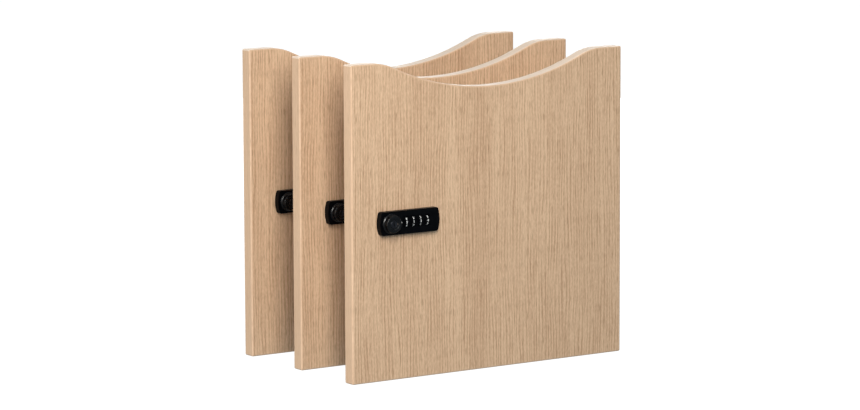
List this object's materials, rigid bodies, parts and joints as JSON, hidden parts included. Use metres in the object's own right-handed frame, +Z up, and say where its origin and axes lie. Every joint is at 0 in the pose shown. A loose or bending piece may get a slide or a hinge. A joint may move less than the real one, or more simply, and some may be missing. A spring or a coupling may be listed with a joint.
{
  "type": "set of locker doors",
  "caption": "Oak-faced locker doors standing one behind another, each with a dipped top edge, a dial combination cam lock and concealed cup hinges.",
  "frame": {"origin": "middle of the set's footprint, on the floor", "axes": "+X to the right across the doors, seen from the lock side; +Y from the front door to the rear one; +Z up"},
  "size_m": [0.405, 0.3312, 0.39],
  "materials": {
    "board_core": "pressed wood chips",
    "oak_laminate": "satin oak decor",
    "oak_edging": "satin oak decor",
    "pale_edging": "satin",
    "lock_black": "satin black moulding",
    "knob_black": "satin black",
    "dial_black": "satin black with white digits",
    "chassis_grey": "matt",
    "plug_metal": "dark nickel",
    "zinc_plate": "zinc plated",
    "nickel": "nickel plated",
    "spring_steel": "bright"
  },
  "bodies": {
    "doors": {"door_1_core": "board_core", "door_1_front_laminate": "oak_laminate", "door_1_back_laminate": "oak_laminate", "door_1_side_edging": "oak_edging", "door_1_top_edging": "pale_edging", "lock_1_housing": "lock_black", "lock_1_chassis": "chassis_grey", "lock_1_back_plate": "zinc_plate", "hinge_1_cups": "nickel", "door_2_core": "board_core", "door_2_front_laminate": "oak_laminate", "door_2_back_laminate": "oak_laminate", "door_2_side_edging": "oak_edging", "door_2_top_edging": "pale_edging", "lock_2_housing": "lock_black", "lock_2_chassis": "chassis_grey", "lock_2_back_plate": "zinc_plate", "hinge_2_cups": "nickel", "door_3_core": "board_core", "door_3_front_laminate": "oak_laminate", "door_3_back_laminate": "oak_laminate", "door_3_side_edging": "oak_edging", "door_3_top_edging": "pale_edging", "lock_3_housing": "lock_black", "lock_3_chassis": "chassis_grey", "lock_3_back_plate": "zinc_plate", "hinge_3_cups": "nickel", "dial_axles": "spring_steel", "detent_springs": "spring_steel", "screws": "zinc_plate"},
    "knob_1": {"lock_1_knob": "knob_black", "lock_1_cam": "zinc_plate"},
    "key_plug_1": {"lock_1_key_plug": "plug_metal"},
    "blocking_bar_1": {"lock_1_blocking_bar": "zinc_plate"},
    "hinge_arms_1": {"hinge_1_arms": "nickel", "hinge_1_mounting_plates": "nickel"},
    "dial_1_1": {"lock_1_dial_1": "dial_black"},
    "dial_1_2": {"lock_1_dial_2": "dial_black"},
    "dial_1_3": {"lock_1_dial_3": "dial_black"},
    "dial_1_4": {"lock_1_dial_4": "dial_black"},
    "knob_2": {"lock_2_knob": "knob_black", "lock_2_cam": "zinc_plate"},
    "key_plug_2": {"lock_2_key_plug": "plug_metal"},
    "blocking_bar_2": {"lock_2_blocking_bar": "zinc_plate"},
    "hinge_arms_2": {"hinge_2_arms": "nickel", "hinge_2_mounting_plates": "nickel"},
    "dial_2_1": {"lock_2_dial_1": "dial_black"},
    "dial_2_2": {"lock_2_dial_2": "dial_black"},
    "dial_2_3": {"lock_2_dial_3": "dial_black"},
    "dial_2_4": {"lock_2_dial_4": "dial_black"},
    "knob_3": {"lock_3_knob": "knob_black", "lock_3_cam": "zinc_plate"},
    "key_plug_3": {"lock_3_key_plug": "plug_metal"},
    "blocking_bar_3": {"lock_3_blocking_bar": "zinc_plate"},
    "hinge_arms_3": {"hinge_3_arms": "nickel", "hinge_3_mounting_plates": "nickel"},
    "dial_3_1": {"lock_3_dial_1": "dial_black"},
    "dial_3_2": {"lock_3_dial_2": "dial_black"},
    "dial_3_3": {"lock_3_dial_3": "dial_black"},
    "dial_3_4": {"lock_3_dial_4": "dial_black"}
  },
  "joints": [
    {"name": "knob_1_turn", "type": "hinge", "parent": "doors", "child": "knob_1", "pos_m": [-0.152, -0.14843, 0.195], "axis": [0, 1, 0], "range_deg": [0, 90]},
    {"name": "key_plug_1_turn", "type": "hinge", "parent": "knob_1", "child": "key_plug_1", "pos_m": [-0.152, -0.14843, 0.195], "axis": [0, 1, 0], "range_deg": [0, 90]},
    {"name": "blocking_bar_1_slide", "type": "slide", "parent": "doors", "child": "blocking_bar_1", "axis": [-1, 0, 0], "range_m": [0, 0.0018]},
    {"name": "dial_1_1_spin", "type": "hinge", "parent": "doors", "child": "dial_1_1", "pos_m": [-0.1289, -0.15063, 0.195], "axis": [1, 0, 0], "continuous": true},
    {"name": "dial_1_2_spin", "type": "hinge", "parent": "doors", "child": "dial_1_2", "pos_m": [-0.11865, -0.15063, 0.195], "axis": [1, 0, 0], "continuous": true},
    {"name": "dial_1_3_spin", "type": "hinge", "parent": "doors", "child": "dial_1_3", "pos_m": [-0.1084, -0.15063, 0.195], "axis": [1, 0, 0], "continuous": true},
    {"name": "dial_1_4_spin", "type": "hinge", "parent": "doors", "child": "dial_1_4", "pos_m": [-0.09815, -0.15063, 0.195], "axis": [1, 0, 0], "continuous": true},
    {"name": "hinge_1_swing", "type": "hinge", "parent": "doors", "child": "hinge_arms_1", "pos_m": [0.1915, -0.13492, 0.195], "axis": [0, 0, -1], "range_deg": [0, 105]},
    {"name": "knob_2_turn", "type": "hinge", "parent": "doors", "child": "knob_2", "pos_m": [-0.152, -0.03143, 0.195], "axis": [0, 1, 0], "range_deg": [0, 90]},
    {"name": "key_plug_2_turn", "type": "hinge", "parent": "knob_2", "child": "key_plug_2", "pos_m": [-0.152, -0.03143, 0.195], "axis": [0, 1, 0], "range_deg": [0, 90]},
    {"name": "blocking_bar_2_slide", "type": "slide", "parent": "doors", "child": "blocking_bar_2", "axis": [-1, 0, 0], "range_m": [0, 0.0018]},
    {"name": "dial_2_1_spin", "type": "hinge", "parent": "doors", "child": "dial_2_1", "pos_m": [-0.1289, -0.03363, 0.195], "axis": [1, 0, 0], "continuous": true},
    {"name": "dial_2_2_spin", "type": "hinge", "parent": "doors", "child": "dial_2_2", "pos_m": [-0.11865, -0.03363, 0.195], "axis": [1, 0, 0], "continuous": true},
    {"name": "dial_2_3_spin", "type": "hinge", "parent": "doors", "child": "dial_2_3", "pos_m": [-0.1084, -0.03363, 0.195], "axis": [1, 0, 0], "continuous": true},
    {"name": "dial_2_4_spin", "type": "hinge", "parent": "doors", "child": "dial_2_4", "pos_m": [-0.09815, -0.03363, 0.195], "axis": [1, 0, 0], "continuous": true},
    {"name": "hinge_2_swing", "type": "hinge", "parent": "doors", "child": "hinge_arms_2", "pos_m": [0.1915, -0.01792, 0.195], "axis": [0, 0, -1], "range_deg": [0, 105]},
    {"name": "knob_3_turn", "type": "hinge", "parent": "doors", "child": "knob_3", "pos_m": [-0.152, 0.08557, 0.195], "axis": [0, 1, 0], "range_deg": [0, 90]},
    {"name": "key_plug_3_turn", "type": "hinge", "parent": "knob_3", "child": "key_plug_3", "pos_m": [-0.152, 0.08557, 0.195], "axis": [0, 1, 0], "range_deg": [0, 90]},
    {"name": "blocking_bar_3_slide", "type": "slide", "parent": "doors", "child": "blocking_bar_3", "axis": [-1, 0, 0], "range_m": [0, 0.0018]},
    {"name": "dial_3_1_spin", "type": "hinge", "parent": "doors", "child": "dial_3_1", "pos_m": [-0.1289, 0.08338, 0.195], "axis": [1, 0, 0], "continuous": true},
    {"name": "dial_3_2_spin", "type": "hinge", "parent": "doors", "child": "dial_3_2", "pos_m": [-0.11865, 0.08338, 0.195], "axis": [1, 0, 0], "continuous": true},
    {"name": "dial_3_3_spin", "type": "hinge", "parent": "doors", "child": "dial_3_3", "pos_m": [-0.1084, 0.08338, 0.195], "axis": [1, 0, 0], "continuous": true},
    {"name": "dial_3_4_spin", "type": "hinge", "parent": "doors", "child": "dial_3_4", "pos_m": [-0.09815, 0.08338, 0.195], "axis": [1, 0, 0], "continuous": true},
    {"name": "hinge_3_swing", "type": "hinge", "parent": "doors", "child": "hinge_arms_3", "pos_m": [0.1915, 0.09907, 0.195], "axis": [0, 0, -1], "range_deg": [0, 105]}
  ]
}
